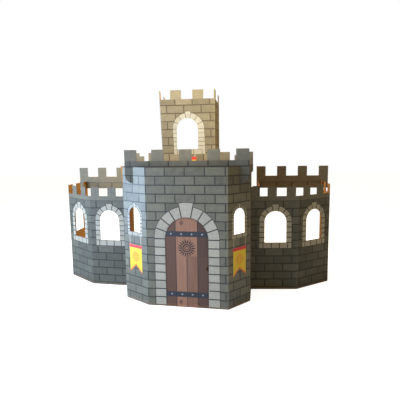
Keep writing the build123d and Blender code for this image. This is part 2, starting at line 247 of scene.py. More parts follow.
# ---- node trees ----
class Graph:
    """A node tree written as sums."""

    def __init__(self, tree):
        self.tree = tree

    def node(self, kind, **settings):
        """A new node with its settings."""
        node = self.tree.nodes.new(kind)
        for name, value in settings.items():
            setattr(node, name, value)
        return node

    def put(self, socket, value):
        """Links an output to a socket, or sets the socket's own value."""
        if isinstance(value, bpy.types.NodeSocket):
            self.tree.links.new(value, socket)
        elif value is not None:
            opaque = socket.type == "RGBA" and len(value) == 3
            socket.default_value = (*value, 1) if opaque else value

    def math(self, operation, *values, clamp=False):
        """The result of a Math node."""
        node = self.node("ShaderNodeMath", operation=operation, use_clamp=clamp)
        for socket, value in zip(node.inputs, values):
            self.put(socket, value)
        return node.outputs[0]

    def total(self, operation, *values, clamp=False):
        """One operation over several values, in turn."""
        first = values[0]
        for value in values[1:]:
            first = self.math(operation, first, value, clamp=clamp)
        return first

    def plus(self, *values, clamp=False):
        """The sum of the values."""
        return self.total("ADD", *values, clamp=clamp)

    def minus(self, first, second, clamp=False):
        """The first value less the second."""
        return self.math("SUBTRACT", first, second, clamp=clamp)

    def times(self, *values):
        """The product of the values."""
        return self.total("MULTIPLY", *values)

    def over(self, first, second):
        """The first value divided by the second."""
        return self.math("DIVIDE", first, second)

    def least(self, *values):
        """The smallest of the values."""
        return self.total("MINIMUM", *values)

    def most(self, *values):
        """The largest of the values."""
        return self.total("MAXIMUM", *values)

    def above(self, first, second):
        """1 where the first value is greater."""
        return self.math("GREATER_THAN", first, second)

    def below(self, first, second):
        """1 where the first value is smaller."""
        return self.math("LESS_THAN", first, second)

    def size(self, value):
        """A value without its sign."""
        return self.math("ABSOLUTE", value)

    def mix(self, factor, first, second):
        """Two colours mixed."""
        node = self.node("ShaderNodeMix", data_type="RGBA")
        self.put(node.inputs["Factor"], factor)
        self.put(node.inputs[6], first)
        self.put(node.inputs[7], second)
        return node.outputs[2]

    def split(self, vector):
        """The u and v of a vector."""
        node = self.node("ShaderNodeSeparateXYZ")
        self.put(node.inputs[0], vector)
        return node.outputs[0], node.outputs[1]

    def join(self, x, y, z=0.0):
        """A vector from its numbers."""
        node = self.node("ShaderNodeCombineXYZ")
        for socket, value in zip(node.inputs, (x, y, z)):
            self.put(socket, value)
        return node.outputs[0]

    def noise(self, vector, scale, detail=2.0):
        """Noise about 0.5."""
        node = self.node("ShaderNodeTexNoise")
        self.put(node.inputs["Vector"], vector)
        self.put(node.inputs["Scale"], scale)
        self.put(node.inputs["Detail"], detail)
        return node.outputs["Fac"]

    def wander(self, vector, scale, reach):
        """Noise about zero, for a line that is not quite straight."""
        return self.times(self.minus(self.noise(vector, scale), 0.5), reach)

    def random(self, vector):
        """A different number for each whole vector."""
        node = self.node("ShaderNodeTexWhiteNoise", noise_dimensions="3D")
        self.put(node.inputs["Vector"], vector)
        return node.outputs["Value"]

    def within(self, distance, limit, soft=0.0008):
        """1 where a distance is under its limit, with a soft edge."""
        rest = self.minus(limit, distance)
        return self.plus(self.over(rest, soft), 0.5, clamp=True)

    def to_line(self, value, pitch):
        """The distance to the nearest multiple of a pitch."""
        steps = self.over(value, pitch)
        off = self.minus(steps, self.math("ROUND", steps))
        return self.times(self.size(off), pitch)

    def polar(self, x, y):
        """Distance and angle."""
        reach = self.math("SQRT", self.plus(self.math("POWER", x, 2.0), self.math("POWER", y, 2.0)))
        return reach, self.math("ARCTAN2", y, x)

    def group(self, name, **values):
        """A group with its inputs set. An underscore in a name stands for a space."""
        node = self.node("ShaderNodeGroup", node_tree=bpy.data.node_groups[name])
        for label, value in values.items():
            self.put(node.inputs[label.replace("_", " ")], value)
        return node.outputs


def start_group(name, numbers=(), colours=()):
    """A group that reads a map and puts out a colour and a mask."""
    tree = bpy.data.node_groups.new(name, "ShaderNodeTree")
    tree.interface.new_socket("Vector", in_out="INPUT", socket_type="NodeSocketVector")
    for label, default in numbers:
        socket = tree.interface.new_socket(label, in_out="INPUT", socket_type="NodeSocketFloat")
        socket.default_value = default
    for label in colours:
        tree.interface.new_socket(label, in_out="INPUT", socket_type="NodeSocketColor")
    tree.interface.new_socket("Color", in_out="OUTPUT", socket_type="NodeSocketColor")
    tree.interface.new_socket("Mask", in_out="OUTPUT", socket_type="NodeSocketFloat")
    graph = Graph(tree)
    return graph, graph.node("NodeGroupInput").outputs, graph.node("NodeGroupOutput").inputs


def make_courses():
    """Rows of cut stones with dark joints, each stone a little lighter or darker than the next."""
    rows_below = 100.0  # keeps the row numbers above zero
    bevel_width, bevel_soft = 0.0075, 0.003
    bevel_share = 0.35
    g, given, out = start_group(
        "stone courses",
        (
            ("Course", 0.06),
            ("Stone", 0.135),
            ("Joint", 0.004),
            ("Shift", 0.0),
            ("Lift", 0.0),
            ("Plain Above", 10.0),
        ),
        ("Stone Color", "Shade Color", "Joint Color", "Plain Color"),
    )
    where = given["Vector"]
    u, v = g.split(where)
    rows = g.over(g.minus(v, given["Lift"]), given["Course"])
    level = g.math("FLOOR", rows)
    up = g.times(g.minus(rows, level), given["Course"])
    odd = g.times(g.math("MODULO", g.plus(level, rows_below), 2.0), 0.5)
    steps = g.plus(g.over(g.minus(u, given["Shift"]), given["Stone"]), odd)
    column = g.math("FLOOR", steps)
    across = g.times(g.minus(steps, column), given["Stone"])
    below_top = g.minus(given["Course"], up)
    before_end = g.minus(given["Stone"], across)
    plain = g.above(v, given["Plain Above"])
    edge = g.least(up, below_top, across, before_end)
    edge = g.plus(edge, plain)
    rough_edge = g.plus(edge, g.wander(where, 90.0, RAGGED))
    joint = g.within(rough_edge, g.times(given["Joint"], 0.5), 0.0016)
    bevel = g.times(g.within(edge, bevel_width, bevel_soft), bevel_share)
    lit = g.within(g.least(below_top, across), bevel_width, bevel_soft)
    mottle = g.noise(where, 28.0, 4.0)
    grit = g.noise(where, 420.0, 2.0)
    own = g.random(g.join(column, level))
    shade = g.plus(g.times(own, 0.5), g.times(mottle, 0.7), g.times(grit, 0.45))
    shade = g.minus(shade, 0.35, clamp=True)
    stone = g.mix(shade, given["Shade Color"], given["Stone Color"])
    worn_face = g.mix(g.times(g.minus(1.0, mottle), 0.7), given["Plain Color"], given["Shade Color"])
    stone = g.mix(plain, stone, worn_face)
    dark = g.mix(g.times(bevel, 0.8), stone, g.mix(0.5, given["Shade Color"], given["Joint Color"]))
    bright = g.mix(g.times(g.times(bevel, lit), 0.9), dark, given["Stone Color"])
    g.put(out["Color"], g.mix(joint, bright, given["Joint Color"]))
    g.put(out["Mask"], joint)


def make_surround():
    """The pale stones round an arched opening, with a keystone and a sill."""
    sill_stone = 0.062
    other_side = 20.0  # added to the numbers of the stones right of the middle
    g, given, out = start_group(
        "arched surround",
        (
            ("Centre", 0.0),
            ("Spring", 0.5),
            ("Outer", 0.1),
            ("Sill", 0.3),
            ("Sill Depth", 0.04),
            ("Voussoirs", 3.0),
            ("Jamb", 0.05),
            ("Key Angle", 0.2),
            ("Key Rise", 0.01),
            ("Joint", 0.006),
        ),
        ("Stone Color", "Shade Color", "Joint Color"),
    )
    where = given["Vector"]
    u, v = g.split(where)
    signed = g.minus(u, given["Centre"])
    side = g.size(signed)
    rise = g.most(g.minus(v, given["Spring"]), 0.0)
    reach, angle = g.polar(side, rise)
    head = g.minus(math.pi / 2, given["Key Angle"])
    key = g.above(angle, head)
    outer = g.plus(given["Outer"], g.times(key, given["Key Rise"]))
    bottom = g.minus(given["Sill"], given["Sill Depth"])
    ring = g.times(g.within(reach, outer), g.above(v, bottom))
    step = g.over(head, given["Voussoirs"])
    steps = g.over(angle, step)
    line = g.least(g.math("ROUND", steps), given["Voussoirs"])
    gap = g.times(g.size(g.minus(steps, line)), step, reach)
    below = g.below(v, given["Spring"])
    down = g.minus(given["Spring"], v)
    jamb_gap = g.to_line(down, given["Jamb"])
    under = g.below(v, given["Sill"])
    sill_gap = g.least(g.to_line(g.plus(signed, sill_stone / 2), sill_stone), g.minus(given["Sill"], v))
    gap = g.plus(g.times(gap, g.minus(1.0, below)), g.times(jamb_gap, below))
    gap = g.plus(g.times(gap, g.minus(1.0, under)), g.times(sill_gap, under))
    rim = g.minus(outer, reach)
    gap = g.least(gap, rim)
    ragged = g.plus(gap, g.wander(where, 110.0, RAGGED))
    joint = g.within(ragged, g.times(given["Joint"], 0.5), 0.0014)
    number = g.plus(g.math("FLOOR", steps), g.times(g.math("SIGN", signed), other_side))
    jamb_number = g.times(g.math("FLOOR", g.over(down, given["Jamb"])), below)
    own = g.random(g.join(number, jamb_number, under))
    speck = g.noise(where, 260.0, 3.0)
    cloud = g.noise(where, 45.0, 3.0)
    shade = g.plus(
        g.times(own, 0.25), g.times(cloud, 0.5), g.times(speck, 0.9)
    )
    shade = g.minus(shade, 0.35, clamp=True)
    stone = g.mix(shade, given["Shade Color"], given["Stone Color"])
    g.put(out["Color"], g.mix(joint, stone, given["Joint Color"]))
    g.put(out["Mask"], ring)


def make_sunburst():
    """A plain sun: a disc, a ring and rays that taper outwards."""
    g, given, out = start_group(
        "sunburst", (("Centre", 0.0), ("Height", 0.4), ("Radius", 0.06), ("Rays", 18.0)), ()
    )
    u, v = g.split(given["Vector"])
    reach, angle = g.polar(g.minus(u, given["Centre"]), g.minus(v, given["Height"]))
    share = g.over(reach, given["Radius"])
    ring = g.within(g.size(g.minus(share, 0.42)), 0.07, 0.03)
    disc = g.within(g.size(g.minus(share, 0.2)), 0.045, 0.03)
    turns = g.over(g.times(angle, given["Rays"]), math.tau)
    off = g.size(g.minus(turns, g.math("ROUND", turns)))
    thin = g.times(g.minus(1.15, share), 0.68)
    ray = g.within(off, thin, 0.1)
    band = g.times(g.within(share, 1.0, 0.03), g.above(share, 0.57))
    mask = g.most(ring, disc, g.times(ray, band))
    g.put(out["Mask"], mask)
    g.put(out["Color"], g.join(mask, mask, mask))


def make_banner():
    """A swallow-tailed banner on two cords, with a band at the top and a sun."""
    band_depth, band_reach = 0.022, 0.004
    cord_inset, cord_half = 0.006, 0.002
    sun_drop, sun_radius, sun_rays = 0.085, 0.042, 16.0
    hem_width = 0.012
    g, given, out = start_group(
        "banner",
        (("Centre", 0.0), ("Top", 0.4), ("Width", 0.13), ("Length", 0.202), ("Notch", 0.15), ("Cord", 0.06)),
        ("Cloth Color", "Band Color", "Sun Color", "Cord Color"),
    )
    where = given["Vector"]
    u, v = g.split(where)
    side = g.size(g.minus(u, given["Centre"]))
    down = g.minus(given["Top"], v)
    half = g.times(given["Width"], 0.5)
    tail = g.times(g.minus(given["Length"], given["Notch"]), g.over(side, half))
    end = g.plus(given["Notch"], tail)
    banded = g.below(down, band_depth)
    reach = g.plus(half, g.times(banded, band_reach))
    cloth = g.times(
        g.within(side, reach), g.above(down, 0.0), g.within(down, end)
    )
    cord = g.times(
        g.within(g.size(g.minus(side, g.minus(half, cord_inset))), cord_half),
        g.below(down, 0.0),
        g.above(down, g.times(given["Cord"], -1.0)),
    )
    sun = g.group(
        "sunburst",
        Vector=where,
        Centre=given["Centre"],
        Height=g.minus(given["Top"], sun_drop),
        Radius=sun_radius,
        Rays=sun_rays,
    )["Mask"]
    folds = g.noise(g.join(g.times(u, 60.0), g.times(v, 6.0)), 1.0)
    colour = g.mix(g.times(folds, 0.4), given["Cloth Color"], given["Sun Color"])
    colour = g.mix(g.times(sun, 0.95), colour, given["Sun Color"])
    hem = g.within(g.minus(end, down), hem_width, hem_width)
    colour = g.mix(g.times(hem, 0.8), colour, given["Band Color"])
    colour = g.mix(banded, colour, given["Band Color"])
    g.put(out["Color"], g.mix(cord, colour, given["Cord Color"]))
    g.put(out["Mask"], g.most(cloth, cord))


def make_door():
    """Four upright planks under an arch, with two riveted straps, knots and a sun, and painted shade on the
    right-hand planks.
    """
    knots = ((-0.033, 0.588), (-0.045, 0.036))  # from the middle, and height
    straps = ((0.493, 0.530), (0.072, 0.110))  # lower and upper edge
    rivet_pitch, rivet_radius = 0.072, 0.0055
    middle_gap_top, dark_top, sun_height = 0.35, 0.36, 0.415
    g, given, out = start_group(
        "plank door",
        (("Centre", 0.28), ("Half Width", 0.15), ("Spring", 0.475)),
        ("Dark Color", "Light Color", "Strap Color", "Rivet Color", "Line Color"),
    )
    where = given["Vector"]
    u, v = g.split(where)
    signed = g.minus(u, given["Centre"])
    side = g.size(signed)
    rise = g.most(g.minus(v, given["Spring"]), 0.0)
    reach, _ = g.polar(side, rise)
    leaf = g.within(reach, given["Half Width"], 0.0006)
    plank = g.over(given["Half Width"], 2.0)
    outer = g.within(plank, side, 0.0012)
    warp = g.wander(g.join(u, g.times(v, 3.0)), 6.0, 0.02)
    fibres = g.join(g.times(g.plus(u, warp), 190.0), g.times(v, 5.0))
    grain = g.noise(fibres, 1.0, 3.0)
    fine = g.noise(g.join(g.times(u, 700.0), g.times(v, 16.0)), 1.0, 2.0)
    right = g.above(signed, 0.0)
    low_part = g.below(v, dark_top)
    # painted shade: the right-hand outer planks are mixed towards the line colour, so the door darkens away
    # from the light on the left
    dark = g.mix(g.times(right, 0.45), given["Dark Color"], given["Line Color"])
    wood = g.mix(outer, given["Light Color"], dark)
    wood = g.mix(g.times(right, low_part, 0.45), wood, given["Dark Color"])
    wood = g.mix(g.times(g.minus(grain, 0.38, clamp=True), 1.6), wood, given["Dark Color"])
    wood = g.mix(g.times(fine, 0.22), wood, given["Line Color"])
    for across, height in knots:
        bend, _ = g.polar(
            g.minus(signed, across), g.times(g.minus(v, height), 0.7)
        )
        rings = g.plus(g.times(g.math("SINE", g.times(bend, 1500.0)), 0.25), 0.6)
        wood = g.mix(g.times(g.within(bend, 0.011, 0.008), rings), wood, given["Line Color"])
    edge_gap = g.size(g.minus(side, plank))
    middle_gap = g.plus(side, g.above(v, middle_gap_top))
    lines = g.within(g.least(edge_gap, middle_gap), 0.002, 0.0016)
    wood = g.mix(lines, wood, given["Line Color"])
    sun = g.group("sunburst", Vector=where, Centre=given["Centre"], Height=sun_height)["Mask"]
    wood = g.mix(sun, wood, given["Line Color"])
    for low, high in straps:
        middle = (low + high) / 2
        off = g.size(g.minus(v, middle))
        strap = g.within(off, (high - low) / 2)
        iron = g.mix(g.noise(where, 70.0), given["Line Color"], given["Strap Color"])
        wood = g.mix(strap, wood, iron)
        spacing = g.minus(side, rivet_pitch / 2)
        rivet, _ = g.polar(g.to_line(spacing, rivet_pitch), off)
        wood = g.mix(g.within(rivet, rivet_radius, 0.002), wood, given["Rivet Color"])
    shade = g.within(g.minus(given["Half Width"], reach), 0.008, 0.012)
    g.put(out["Color"], g.mix(g.times(shade, 0.6), wood, given["Line Color"]))
    g.put(out["Mask"], leaf)


def make_board():
    """The skin of corrugated board: the flutes show through as faint ribs, over a paper grain."""
    g, given, out = start_group("board skin", (("Flute", 0.008), ("Grain", 900.0)), ())
    where = given["Vector"]
    u, v = g.split(where)
    wander = g.times(g.noise(g.join(g.times(u, 3.0), v), 4.0), 0.002)
    turn = g.over(g.times(g.plus(u, wander), math.tau), given["Flute"])
    ribs = g.times(g.plus(g.math("SINE", turn), 1.0), 0.5)
    grain = g.noise(where, given["Grain"], 3.0)
    waves = g.noise(where, 7.0, 1.0)
    height = g.plus(
        g.times(ribs, 0.35), g.times(grain, 0.25), g.times(waves, 3.0)
    )
    g.put(out["Mask"], height)
    g.put(out["Color"], g.join(ribs, grain, waves))


def make_core():
    """The cut edge of the board: two liners, and between them a sheet that waves at a level cut, with
    painted shade in the hollows.
    """
    g, given, out = start_group("board core", (("Flute", 0.008),), ("Paper Color", "Hollow Color"))
    along, across = g.split(given["Vector"])
    side_cut = g.above(across, 0.75 * SIDE_CUT)
    depth = g.minus(across, g.times(side_cut, SIDE_CUT))
    turn = g.over(g.times(along, math.tau), given["Flute"])
    swing = g.times(g.math("SINE", turn), g.times(g.minus(1.0, side_cut), 0.36))
    off = g.size(g.minus(g.minus(depth, 0.5), swing))
    wave = g.within(off, 0.1, 0.06)
    liner = g.within(g.least(depth, g.minus(1.0, depth)), 0.12, 0.05)
    paper = g.most(wave, liner)
    fibres = g.noise(g.join(g.times(along, 300.0), across), 3.0, 2.0)
    tone = g.mix(g.times(fibres, 0.5), given["Paper Color"], given["Hollow Color"])
    # painted shade fills the hollows between the paper
    g.put(out["Color"], g.mix(paper, given["Hollow Color"], tone))
    g.put(out["Mask"], paper)


def make_wear_and_floor_shade():
    """Rubbed places: pale along the creases, and painted shade, mixed towards the kraft colour, along the
    foot at the floor.
    """
    g, given, out = start_group(
        "rubbed print and floor shade", (("Crease", 0.0), ("Amount", 1.0)), ("Base", "Rubbed Color", "Dust Color")
    )
    where = given["Vector"]
    _, v = g.split(where)
    patches = g.noise(where, 35.0, 4.0)
    rub = g.times(given["Crease"], given["Amount"], g.plus(g.times(patches, 0.9), 0.1))
    # painted shade: a ragged band up to 3 cm tall at the foot is mixed towards the kraft colour, browner
    # where the walls meet the floor
    painted_floor_shade = g.times(g.within(v, g.times(patches, 0.03), 0.02), 0.15)
    colour = g.mix(rub, given["Base"], given["Rubbed Color"])
    g.put(out["Color"], g.mix(painted_floor_shade, colour, given["Dust Color"]))
    g.put(out["Mask"], g.most(rub, painted_floor_shade))


def start_material(name, roughness):
    """A material with its shader and the sheet's map."""
    material = bpy.data.materials.new(name)
    material.use_nodes = True
    material.node_tree.nodes.clear()
    g = Graph(material.node_tree)
    shader = g.node("ShaderNodeBsdfPrincipled")
    g.put(g.node("ShaderNodeOutputMaterial").inputs["Surface"], shader.outputs[0])
    shader.inputs["Roughness"].default_value = roughness
    return material, g, shader, g.node("ShaderNodeUVMap", uv_map="sheet").outputs[0]


def add_relief(g, shader, height, distance):
    """A bump on the shader's normal."""
    bump = g.node("ShaderNodeBump")
    bump.inputs["Distance"].default_value = distance
    bump.inputs["Strength"].default_value = 1.0
    g.put(bump.inputs["Height"], height)
    g.put(shader.inputs["Normal"], bump.outputs[0])


def printed(name, tints, surround=(), banners=(), door=None, gloss=0.5, **courses):
    """A printed face: courses in a stone, a shade and a plain colour, then what lies over them."""
    colours, sizes = settings()
    stone, shade, plain = tints
    material, g, shader, where = start_material(name, gloss)
    shader.inputs["Specular IOR Level"].default_value = 0.78 - gloss
    rows = {
        "Course": sizes.course,
        "Stone": sizes.stone,
        "Joint": sizes.joint,
        "Joint_Color": colours.joint,
        **courses,
    }
    colour = g.group(
        "stone courses", Vector=where, Stone_Color=stone, Shade_Color=shade, Plain_Color=plain, **rows
    )["Color"]
    pale = dict(Stone_Color=colours.surround, Shade_Color=colours.surround_shade)
    cloth = dict(
        Cloth_Color=colours.banner,
        Band_Color=colours.band,
        Sun_Color=colours.sun,
        Cord_Color=colours.surround,
    )
    wood = dict(
        Dark_Color=colours.dark_plank,
        Light_Color=colours.light_plank,
        Strap_Color=colours.strap,
        Rivet_Color=colours.rivet,
        Line_Color=colours.line,
    )
    layers = [("arched surround", {**pale, "Joint_Color": rows["Joint_Color"], **arch}) for arch in surround]
    layers += [("banner", {**cloth, **banner}) for banner in banners]
    layers += [("plank door", {**wood, **door})] if door else []
    for group, values in layers:
        layer = g.group(group, Vector=where, **values)
        colour = g.mix(layer["Mask"], colour, layer["Color"])
    crease = g.node("ShaderNodeAttribute", attribute_name="crease").outputs["Fac"]
    # the rubbed creases, and painted shade at the foot
    rubbed_and_floor_shaded = g.group(
        "rubbed print and floor shade",
        Vector=where,
        Crease=crease,
        Amount=sizes.wear,
        Base=colour,
        Rubbed_Color=colours.surround,
        Dust_Color=colours.kraft,
    )
    skin = g.group("board skin", Vector=where, Flute=sizes.flute)
    ribs, grain = g.split(skin["Color"])
    final = g.mix(g.times(ribs, 0.06), rubbed_and_floor_shaded["Color"], (0.02, 0.02, 0.02, 1))
    g.put(shader.inputs["Base Color"], final)
    roughness = g.plus(gloss, g.times(grain, 0.15))
    g.put(shader.inputs["Roughness"], g.plus(roughness, g.times(rubbed_and_floor_shaded["Mask"], 0.25), clamp=True))
    add_relief(g, shader, skin["Mask"], 0.00035)
    return material


def kraft(colours, sizes):
    """Bare brown board: long fibres, flecks, and ribs where the flutes show through."""
    material, g, shader, where = start_material("bare kraft", 0.85)
    u, v = g.split(where)
    skin = g.group("board skin", Vector=where, Flute=sizes.flute)
    ribs, grain = g.split(skin["Color"])
    fibres = g.noise(g.join(g.times(u, 40.0), g.times(v, 260.0)), 1.0, 3.0)
    flecks = g.within(g.noise(where, 520.0, 1.0), 0.3, 0.05)
    tone = g.plus(g.times(fibres, 0.5), g.times(grain, 0.3), g.times(ribs, 0.25))
    colour = g.mix(g.minus(tone, 0.15, clamp=True), colours.kraft, colours.kraft_shade)
    colour = g.mix(g.times(flecks, 0.5), colour, colours.kraft_shade)
    g.put(shader.inputs["Base Color"], colour)
    g.put(shader.inputs["Roughness"], g.plus(0.75, g.times(grain, 0.2)))
    add_relief(g, shader, skin["Mask"], 0.0004)
    return material


def cut_edge(colours, sizes):
    """The fluted core that shows at every cut, with painted shade in its hollows."""
    material, g, shader, where = start_material("cut board edge", 0.9)
    core = g.group(
        "board core",
        Vector=where,
        Flute=sizes.flute,
        Paper_Color=colours.kraft_edge,
        Hollow_Color=colours.hollow,
    )
    g.put(shader.inputs["Base Color"], core["Color"])
    g.put(shader.inputs["Roughness"], g.plus(0.8, g.times(core["Mask"], 0.15)))
    add_relief(g, shader, core["Mask"], 0.0008)
    return material


def flute_paper(colours):
    """The brown paper of the flutes, read from its place because it has no flat map."""
    material, g, shader, _ = start_material("flute paper", 0.9)
    where = g.node("ShaderNodeTexCoord").outputs["Object"]
    fibres = g.noise(where, 500.0, 3.0)
    colour = g.mix(g.times(fibres, 0.6), colours.kraft_edge, colours.kraft_shade)
    g.put(shader.inputs["Base Color"], colour)
    g.put(shader.inputs["Roughness"], g.plus(0.75, g.times(fibres, 0.2)))
    add_relief(g, shader, fibres, 0.0001)
    return material


# ---- sizes and colours ----
def colour_property(name, description, default):
    """A colour property."""
    return bpy.props.FloatVectorProperty(
        name=name, description=description, default=default, subtype="COLOR", size=3, min=0, max=1
    )


def length_property(name, description, default):
    """A length property in metres."""
    return bpy.props.FloatProperty(
        name=name, description=description, default=default, unit="LENGTH", precision=4
    )


class CastleSizes(bpy.types.PropertyGroup):
    """Sizes of the print and of the board."""

    course: length_property("Course", "Height of one row of printed stones", 0.06)
    tower_course: length_property("Tower course", "Height of one row of stones on the tower", 0.0582)
    wing_course: length_property("Wing course", "Height of one row of stones on the wings", 0.0605)
    stone: length_property("Stone", "Length of a printed stone", 0.1355)
    joint: length_property("Joint", "Width of the dark line between stones", 0.0062)
    flute: length_property("Flute", "From one flute of the board to the next", 0.008)
    flute_paper: length_property("Flute paper", "Thickness of the paper that stands proud of a cut", 0.0006)
    wear: bpy.props.FloatProperty(
        name="Wear", description="How rubbed the creases are", default=0.25, min=0, max=1, subtype="FACTOR"
    )


COLOURS = {
    "stone": ("Grey stones", (0.214, 0.202, 0.130)),
    "shade": ("Dark parts of the grey stones", (0.084, 0.081, 0.054)),
    "plain": ("Plain merlons of the keep", (0.185, 0.172, 0.120)),
    "joint": ("Lines between the stones", (0.022, 0.024, 0.018)),
    # partly painted shade: the wings' stones and their dark parts are a darker copy of the grey stones,
    # standing in for the weaker light that reaches the wings
    "wing_stone": ("Stones of the wings", (0.142, 0.136, 0.094)),
    "wing_shade": ("Dark parts of the wings' stones", (0.066, 0.064, 0.045)),
    "wing_plain": ("Plain merlons of the wings", (0.200, 0.182, 0.120)),
    # painted warm light: these colours, for the keep's rear battlement and the wings' battlements, are the
    # grey print made warmer and lighter, standing in for part of the warm lamp light on them
    "dull_stone": ("Stones of the wings' battlements", (0.245, 0.208, 0.118)),
    "dull_plain": ("Plain merlons over those stones", (0.245, 0.208, 0.126)),
    "dull_shade": ("Dark parts of those stones", (0.105, 0.089, 0.052)),
    # painted warm light: the tower's colours are the grey print made warmer and lighter, standing in for
    # part of the warm lamp light on the tower's front
    "tower_stone": ("Stones of the tower", (0.270, 0.225, 0.130)),
    "tower_shade": ("Dark parts of the tower's stones", (0.140, 0.112, 0.060)),
    "tower_plain": ("Plain merlons of the tower", (0.320, 0.265, 0.150)),
    "tower_joint": ("Lines between the tower's stones", (0.070, 0.050, 0.022)),
    "surround": ("Pale stones round doors and windows", (0.560, 0.510, 0.370)),
    "surround_shade": ("Specks in the pale stones", (0.240, 0.220, 0.160)),
    "dark_plank": ("Outer planks of the door", (0.130, 0.063, 0.033)),
    "light_plank": ("Middle planks of the door", (0.40, 0.195, 0.105)),
    "strap": ("Straps of the door", (0.045, 0.056, 0.062)),
    "rivet": ("Rivets in the straps", (0.33, 0.36, 0.38)),
    "line": ("Gaps between planks and the sun on the door", (0.018, 0.012, 0.011)),
    "banner": ("Cloth of the banners", (0.80, 0.64, 0.02)),
    "band": ("Red band and hem of the banners", (0.72, 0.04, 0.03)),
    "sun": ("Sun on the banners", (0.78, 0.24, 0.01)),
    "kraft": ("Bare inside of the board", (0.58, 0.27, 0.055)),
    "kraft_shade": ("Fibres in the kraft", (0.36, 0.15, 0.03)),
    "kraft_edge": ("Cut edge of the board", (0.42, 0.22, 0.08)),
    # painted shade: the dark colour inside the flutes stands for the shade in the open hollows; the paper's
    # fibres are also mixed part way towards it
    "hollow": ("Inside the flutes", (0.10, 0.05, 0.02)),
}


class CastleColours(bpy.types.PropertyGroup):
    """Colours of the print and of the board."""

    __annotations__ = {
        name: colour_property(name.replace("_", " ").capitalize(), *row) for name, row in COLOURS.items()
    }


# ---- pieces ----
SIDE_WINDOW = dict(
    Spring=0.624, Outer=0.081, Sill=0.504, Sill_Depth=0.026,
    Jamb=0.026, Voussoirs=6.0, Key_Angle=0.16, Key_Rise=0.006,
)
WING_WINDOW = dict(
    Spring=0.5255, Outer=0.124, Sill=0.366, Sill_Depth=0.043,
    Jamb=0.040, Key_Angle=0.22, Key_Rise=0.012,
)
TOWER_WINDOW = dict(
    Spring=1.225, Outer=0.118, Sill=1.077, Sill_Depth=0.036,
    Jamb=0.031, Joint=0.0035, Key_Angle=0.18, Key_Rise=0.010,
)
# the sill is under the floor, because a doorway has none
DOORWAY = dict(
    Centre=0.2815, Spring=0.475, Outer=0.227, Sill=-1.0, Sill_Depth=0.0,
    Jamb=0.0585, Joint=0.0075, Voussoirs=4.0, Key_Angle=0.21, Key_Rise=0.026,
)
TAB_REACH, TAB_BOTTOM = 0.034, 0.83  # the push-out tab lies beyond these
KEEP_SIDE_WINDOWS = (-0.119, 0.677)
WING_WINDOWS = (0.166, -0.1724, -0.5349)
TOWER_WINDOW_CENTRE = 0.206


def settings():
    """The sizes and colours in use."""
    scene = bpy.context.scene
    return scene.castle_colours, scene.castle_sizes


def skins(face):
    """The three skins of a sheet, with its own print."""
    colours, sizes = settings()
    back = bpy.data.materials.get("bare kraft") or kraft(colours, sizes)
    edge = bpy.data.materials.get("cut board edge") or cut_edge(colours, sizes)
    return face, back, edge


class MakeNodeGroups(bpy.types.Operator):
    """Builds the node groups that the prints and the board share"""

    bl_idname = "castle.node_groups"
    bl_label = "Node groups"

    def execute(self, context):
        for make in (
            make_courses,
            make_surround,
            make_sunburst,
            make_banner,
            make_door,
            make_board,
            make_core,
            make_wear_and_floor_shade,
        ):
            make()
        return {"FINISHED"}


class MakeKeep(bpy.types.Operator):
    """Prints the keep: the door, two windows and two banners"""

    bl_idname = "castle.keep"
    bl_label = "Keep"

    def execute(self, context):
        colours, _ = settings()
        arches = [{"Centre": centre, **SIDE_WINDOW} for centre in KEEP_SIDE_WINDOWS]
        banners = [{"Centre": centre, "Top": 0.412, "Cord": 0.066} for centre in KEEP_SIDE_WINDOWS]
        face = printed(
            "keep print",
            (colours.stone, colours.shade, colours.stone),
            surround=[DOORWAY, *arches],
            banners=banners,
            gloss=0.28,
            door={"Centre": DOORWAY["Centre"], "Half_Width": 0.15, "Spring": DOORWAY["Spring"]},
            Shift=0.0727,
        )
        low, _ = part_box("keep_wall")
        build_sheet("keep_wall", skins(face), lambda at: at.x < low.x + TAB_REACH and at.z > TAB_BOTTOM)
        return {"FINISHED"}


class MakeTower(bpy.types.Operator):
    """Prints the tower: a window and a banner on its front"""

    bl_idname = "castle.tower"
    bl_label = "Tower"

    def execute(self, context):
        colours, sizes = settings()
        face = printed(
            "tower print and painted warm light",
            # stones with part of the warm lamp light painted into their colour
            (colours.tower_stone, colours.tower_shade, colours.tower_plain),
            surround=[{"Centre": TOWER_WINDOW_CENTRE, **TOWER_WINDOW}],
            banners=[{"Centre": TOWER_WINDOW_CENTRE, "Top": 1.02, "Width": 0.088, "Cord": 0.022}],
            Course=sizes.tower_course,
            Stone=0.128,
            Shift=0.115,
            Joint_Color=colours.tower_joint,
            Plain_Above=1.4395,
        )
        build_sheet("tower_sleeve", skins(face))
        return {"FINISHED"}


class MakeWings(bpy.types.Operator):
    """Prints the two wings, each with three windows"""

    bl_idname = "castle.wings"
    bl_label = "Wings"

    def execute(self, context):
        colours, sizes = settings()
        for side, shift in (("left", 0.058), ("right", 0.109)):
            face = printed(
                side + " wing print",
                # stones darkened in part as painted shade
                (colours.wing_stone, colours.wing_shade, colours.wing_plain),
                surround=[{"Centre": centre, **WING_WINDOW} for centre in WING_WINDOWS],
                Course=sizes.wing_course,
                Lift=0.020,
                Shift=shift,
                Plain_Above=0.6855,
            )
            build_sheet(side + "_wing_wall", skins(face))
        return {"FINISHED"}


class MakeInnerWalls(bpy.types.Operator):
    """Prints the walls between the keep and the wings"""

    bl_idname = "castle.inner_walls"
    bl_label = "Inner walls"

    def execute(self, context):
        colours, _ = settings()
        # the wings' stones, darkened in part as painted shade
        face = printed("inner wall print", (colours.wing_stone, colours.wing_shade, colours.wing_plain))
        for node in ("left_inner_wall", "right_inner_wall"):
            build_sheet(node, skins(face))
        return {"FINISHED"}


